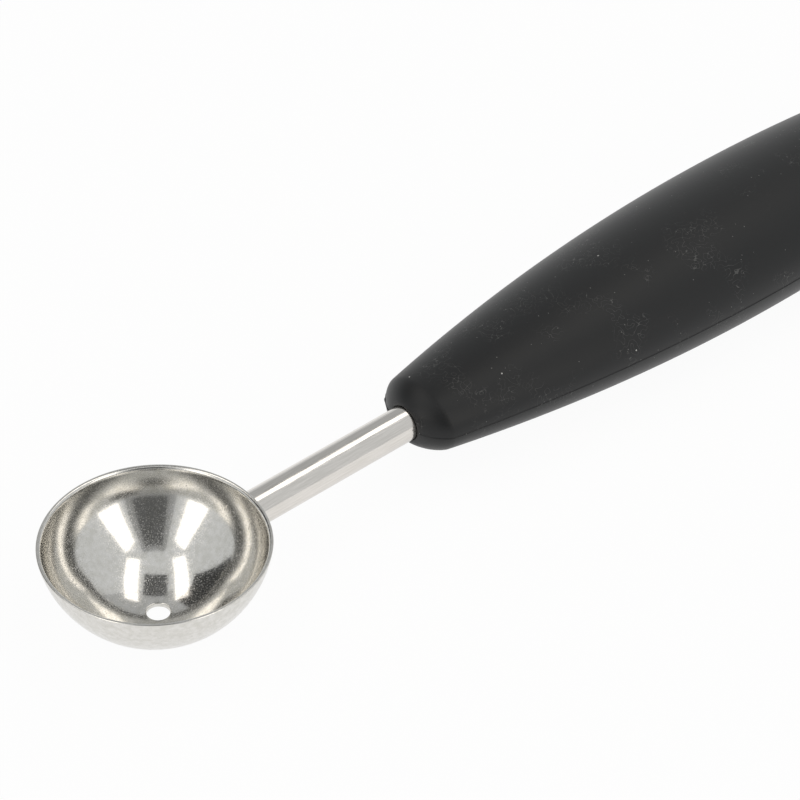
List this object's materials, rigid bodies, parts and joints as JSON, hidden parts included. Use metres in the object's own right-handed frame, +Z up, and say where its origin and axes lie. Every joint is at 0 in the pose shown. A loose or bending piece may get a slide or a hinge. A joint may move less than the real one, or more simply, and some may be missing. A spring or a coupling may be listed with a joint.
{
  "type": "melon baller",
  "caption": "Double-ended melon baller: large and small steel scoops on round necks, joined by a soft oval spindle grip.",
  "frame": {"origin": "on the table plane under the middle of the tool's length, in its mirror plane", "axes": "+X from the large scoop towards the small scoop, +Z up, the way that both scoops open"},
  "size_m": [0.233, 0.0302, 0.0179],
  "materials": {
    "polished_steel": "polished stainless steel with a fine grain",
    "satin_steel": "satin stainless steel, brushed lengthwise",
    "soft_rubber": "matte charcoal black thermoplastic rubber",
    "rigid_plastic": "unpainted moulded polypropylene"
  },
  "bodies": {
    "root": {"large_bowl": "polished_steel", "large_neck": "satin_steel", "large_weld": "satin_steel", "small_bowl": "polished_steel", "small_neck": "satin_steel", "small_weld": "satin_steel", "grip": "soft_rubber", "core": "rigid_plastic"}
  },
  "joints": []
}
